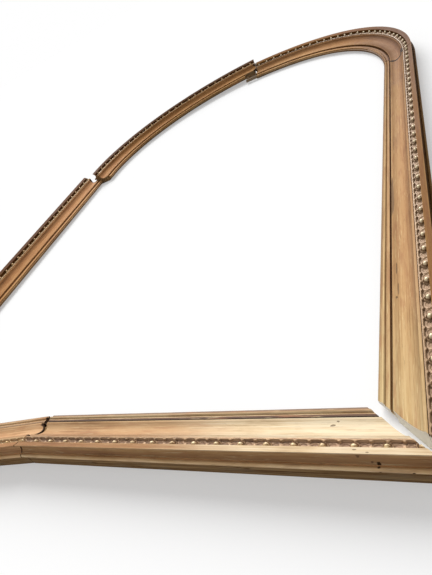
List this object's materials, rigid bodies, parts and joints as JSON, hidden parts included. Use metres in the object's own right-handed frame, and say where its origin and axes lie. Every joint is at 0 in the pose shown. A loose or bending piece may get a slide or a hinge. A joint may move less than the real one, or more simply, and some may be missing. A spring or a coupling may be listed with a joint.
{
  "type": "knock-down arched frame",
  "caption": "Large round-arched gilded wooden frame that comes apart at the crown, springings, corners and foot; shown laid out with its joints open.",
  "frame": {"origin": "middle of the plan box of the laid-out frame, on the floor that the backs of the planks lie on", "axes": "+Z out of the gilded face, +Y from the foot to the crown, +X to the right of someone who looks at the face"},
  "size_m": [2.0201, 3.064, 0.0931],
  "materials": {
    "bare_wood": "aged bare softwood, dark with handling and dust",
    "sight_gilding": "worn water gilding with red bole showing",
    "cove_gilding": "worn water gilding, scratched and rubbed lengthwise",
    "rim_gilding": "worn water gilding, olive brown in the hollow",
    "bead_gilding": "worn gilding with dark glaze between the eggs"
  },
  "bodies": {
    "right_stile": {"right_stile_plank": "bare_wood", "right_stile_sight": "sight_gilding", "right_stile_cove": "cove_gilding", "right_stile_rim": "rim_gilding", "right_stile_beads": "bead_gilding"},
    "right_arch": {"right_arch_plank_1": "bare_wood", "right_arch_plank_2": "bare_wood", "right_arch_plank_3": "bare_wood", "right_arch_sight": "sight_gilding", "right_arch_cove": "cove_gilding", "right_arch_rim": "rim_gilding", "right_arch_beads": "bead_gilding", "crown_tongue": "bare_wood"},
    "left_arch": {"left_arch_plank_1": "bare_wood", "left_arch_plank_2": "bare_wood", "left_arch_plank_3": "bare_wood", "left_arch_sight": "sight_gilding", "left_arch_cove": "cove_gilding", "left_arch_rim": "rim_gilding", "left_arch_beads": "bead_gilding"},
    "right_rail": {"right_rail_plank": "bare_wood", "right_rail_sight": "sight_gilding", "right_rail_cove": "cove_gilding", "right_rail_rim": "rim_gilding", "right_rail_beads": "bead_gilding"},
    "left_rail": {"left_rail_plank": "bare_wood", "left_rail_sight": "sight_gilding", "left_rail_cove": "cove_gilding", "left_rail_rim": "rim_gilding", "left_rail_beads": "bead_gilding"},
    "left_stile": {"left_stile_plank": "bare_wood", "left_stile_sight": "sight_gilding", "left_stile_cove": "cove_gilding", "left_stile_rim": "rim_gilding", "left_stile_beads": "bead_gilding"}
  },
  "joints": [
    {"name": "right_springing_slide", "type": "slide", "parent": "right_stile", "child": "right_arch", "axis": [0, 1, 0], "range_m": [-0.003, 0.15]},
    {"name": "crown_slide", "type": "slide", "parent": "right_arch", "child": "left_arch", "axis": [-0.7071, 0.7071, 0], "range_m": [0, 0.2]},
    {"name": "right_mitre_slide", "type": "slide", "parent": "right_stile", "child": "right_rail", "axis": [-0.9986, 0.0537, 0], "range_m": [-0.016, 0.15]},
    {"name": "foot_slide", "type": "slide", "parent": "right_rail", "child": "left_rail", "axis": [-0.9989, -0.0471, 0], "range_m": [0, 0.15]},
    {"name": "left_mitre_slide", "type": "slide", "parent": "left_rail", "child": "left_stile", "axis": [-1, 0, 0], "range_m": [0, 0.15]}
  ]
}
